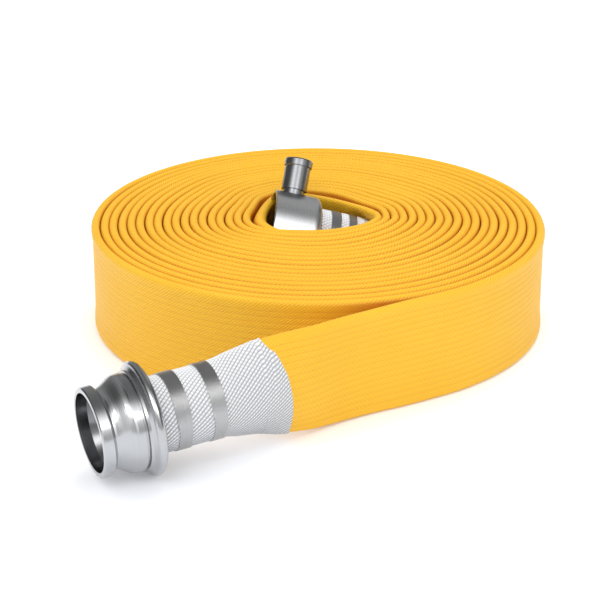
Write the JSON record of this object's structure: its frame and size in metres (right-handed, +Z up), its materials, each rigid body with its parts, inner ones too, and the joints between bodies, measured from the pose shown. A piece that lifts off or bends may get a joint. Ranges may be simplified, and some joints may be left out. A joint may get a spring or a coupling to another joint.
{
  "type": "rolled fire hose",
  "caption": "Yellow lay-flat fire hose wound flat in one roll, with a male instantaneous coupling on its outer end and a female coupling with pull plungers in the middle.",
  "frame": {"origin": "on the floor, under the middle of the whole object's box", "axes": "+Z up, along the roll's axis; +X to the right seen from the outer coupling's side; +Y away from that side"},
  "size_m": [0.449, 0.6051, 0.151],
  "materials": {
    "hose_rubber": "satin",
    "sleeve_cloth": "matte",
    "coupling_alloy": "satin",
    "binding_wire": "satin",
    "plunger_steel": "satin",
    "nut_brass": "satin",
    "seal_rubber": "matte"
  },
  "bodies": {
    "hose_and_couplings": {"male_body": "coupling_alloy", "female_body": "coupling_alloy", "upper_guide": "coupling_alloy", "lower_guide": "coupling_alloy", "upper_spring": "plunger_steel", "lower_spring": "plunger_steel", "hose_roll": "hose_rubber", "hose_inner_turn": "hose_rubber", "hose_inner_neck": "hose_rubber", "hose_inner_end": "hose_rubber", "hose_run_out": "hose_rubber", "hose_outer_neck": "hose_rubber", "hose_outer_end": "hose_rubber", "male_sleeve": "sleeve_cloth", "male_sleeve_flare": "sleeve_cloth", "female_sleeve": "sleeve_cloth", "male_binding_front": "binding_wire", "male_binding_rear": "binding_wire", "female_binding_front": "binding_wire", "female_binding_rear": "binding_wire", "female_seal": "seal_rubber"},
    "upper_pull": {"upper_plunger": "plunger_steel", "upper_knob": "coupling_alloy", "upper_cap": "coupling_alloy", "upper_nut": "nut_brass"},
    "lower_pull": {"lower_plunger": "plunger_steel", "lower_knob": "coupling_alloy", "lower_cap": "coupling_alloy", "lower_nut": "nut_brass"}
  },
  "joints": [
    {"name": "upper_pull_slide", "type": "slide", "parent": "hose_and_couplings", "child": "upper_pull", "axis": [0.1729, 0.5248, 0.8335], "range_m": [0, 0.005], "stiffness_N_per_m": 2000, "springref_m": -0.006, "deforming": ["upper_spring"]},
    {"name": "lower_pull_slide", "type": "slide", "parent": "hose_and_couplings", "child": "lower_pull", "axis": [-0.1729, -0.5248, -0.8335], "range_m": [0, 0.005], "stiffness_N_per_m": 2000, "springref_m": -0.006, "deforming": ["lower_spring"]}
  ]
}
